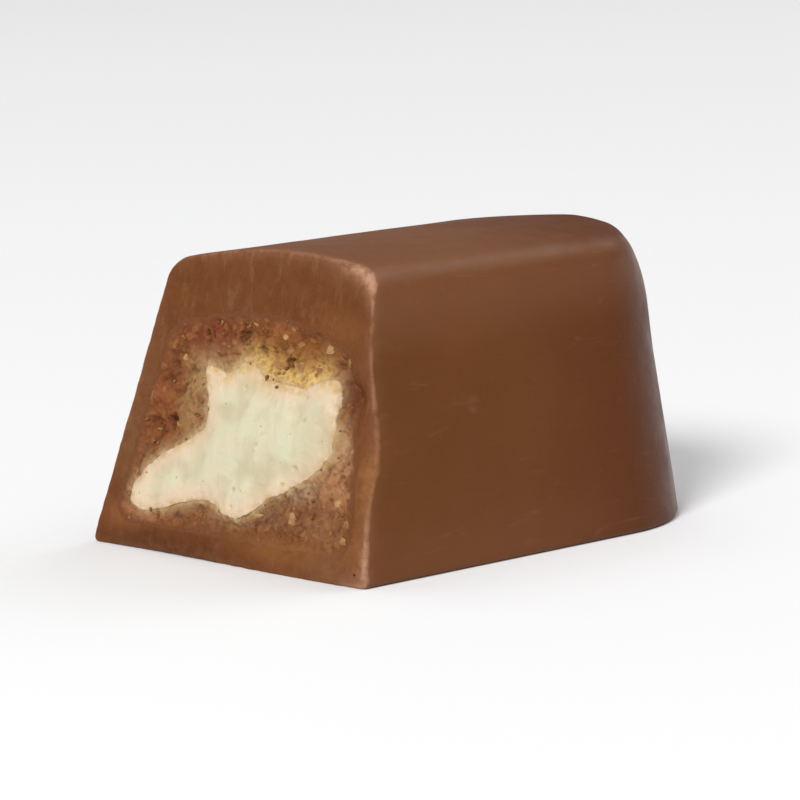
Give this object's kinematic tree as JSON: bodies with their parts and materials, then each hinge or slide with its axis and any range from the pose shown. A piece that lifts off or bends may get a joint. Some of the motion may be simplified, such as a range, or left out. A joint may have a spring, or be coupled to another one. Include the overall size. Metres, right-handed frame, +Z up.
{
  "type": "praline chocolate",
  "caption": "Cut length of a moulded milk chocolate praline with a domed top, nut praline filling and a lobed cream centre, resting on its flat base.",
  "frame": {"origin": "middle of the base, at the bottom centre of the bounding box", "axes": "+Z up, +Y from the cut face towards the moulded end, +X across, towards the long side that the reference view shows"},
  "size_m": [0.0198, 0.032, 0.0169],
  "materials": {
    "milk_chocolate": "smooth moulded milk chocolate, soft gloss outside, matt where cut",
    "nut_praline": "granular nut praline paste, matt and crumbly",
    "ivory_cream": "soft ivory cream, satin"
  },
  "bodies": {
    "root": {"chocolate_shell": "milk_chocolate", "praline_filling": "nut_praline", "cream_centre": "ivory_cream"}
  },
  "joints": []
}
